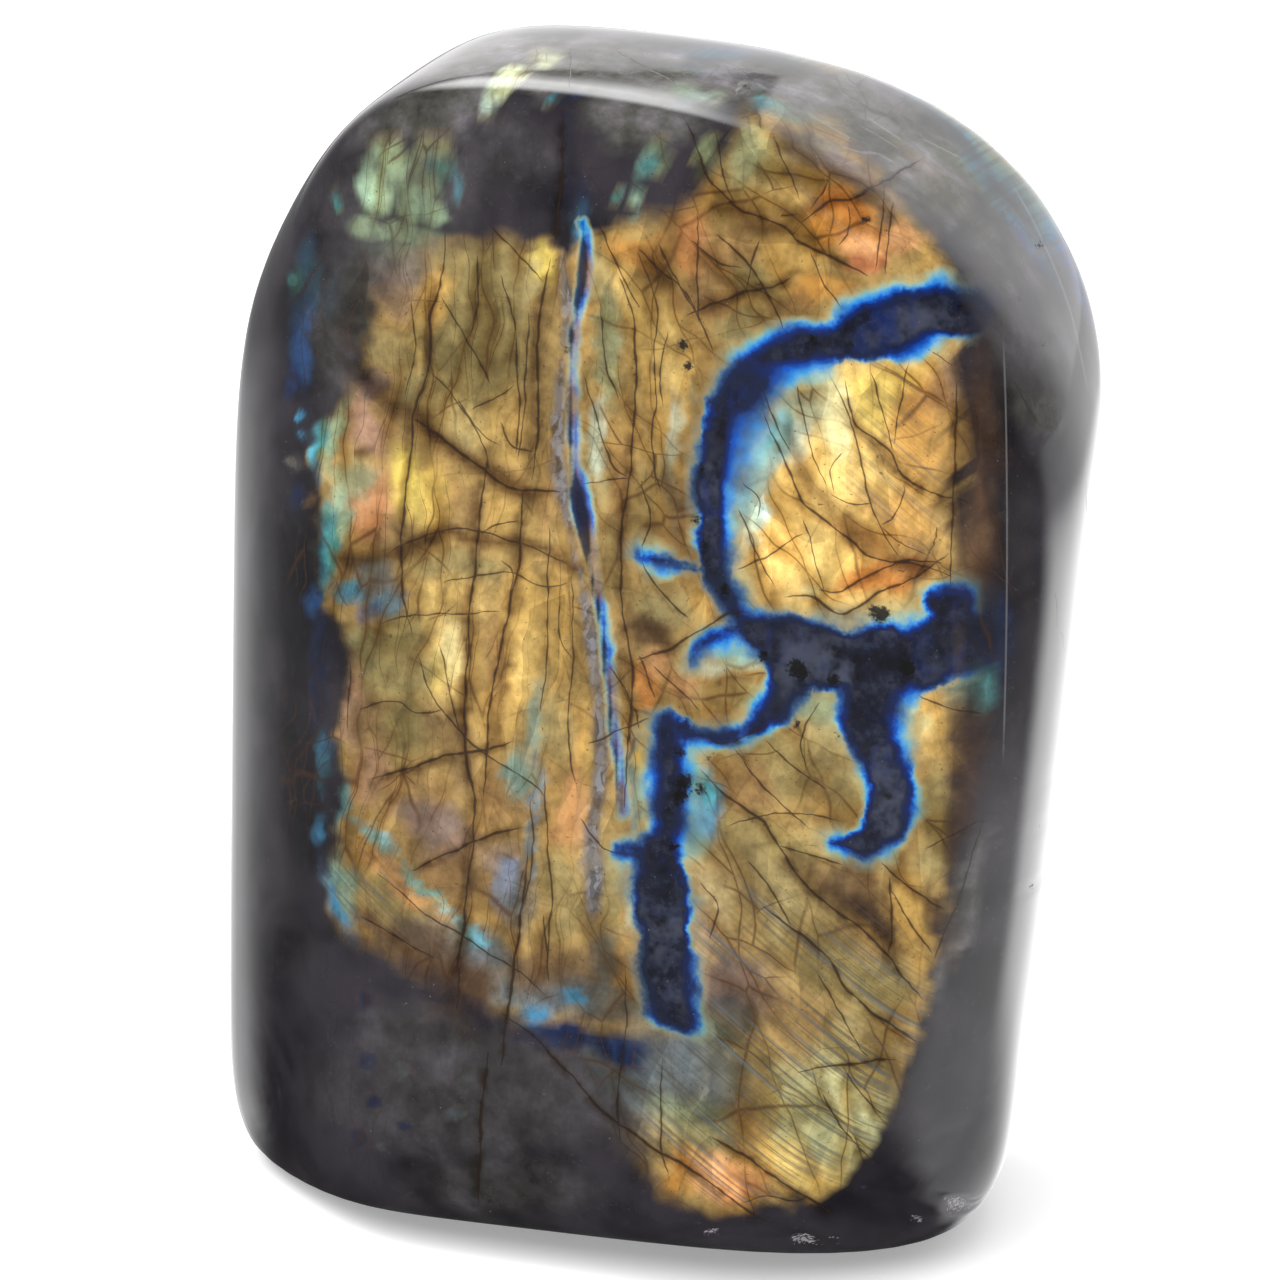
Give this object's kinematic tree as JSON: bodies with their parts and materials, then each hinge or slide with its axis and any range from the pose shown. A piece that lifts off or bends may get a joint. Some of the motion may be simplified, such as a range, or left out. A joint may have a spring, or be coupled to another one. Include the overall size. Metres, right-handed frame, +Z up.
{
  "type": "labradorite freeform",
  "caption": "Polished labradorite standing stone, a rounded upright slab with a broad flat face, domed top and flat sawn base, for display on a shelf or desk.",
  "frame": {"origin": "middle of the bounding box's footprint, on the plane the base stands on", "axes": "+Z up, along the height; the broad flash face looks along -Y; +X to the right seen from the front"},
  "size_m": [0.1158, 0.0624, 0.15],
  "materials": {
    "stone": "polished"
  },
  "bodies": {
    "root": {"stone": "stone"}
  },
  "joints": []
}
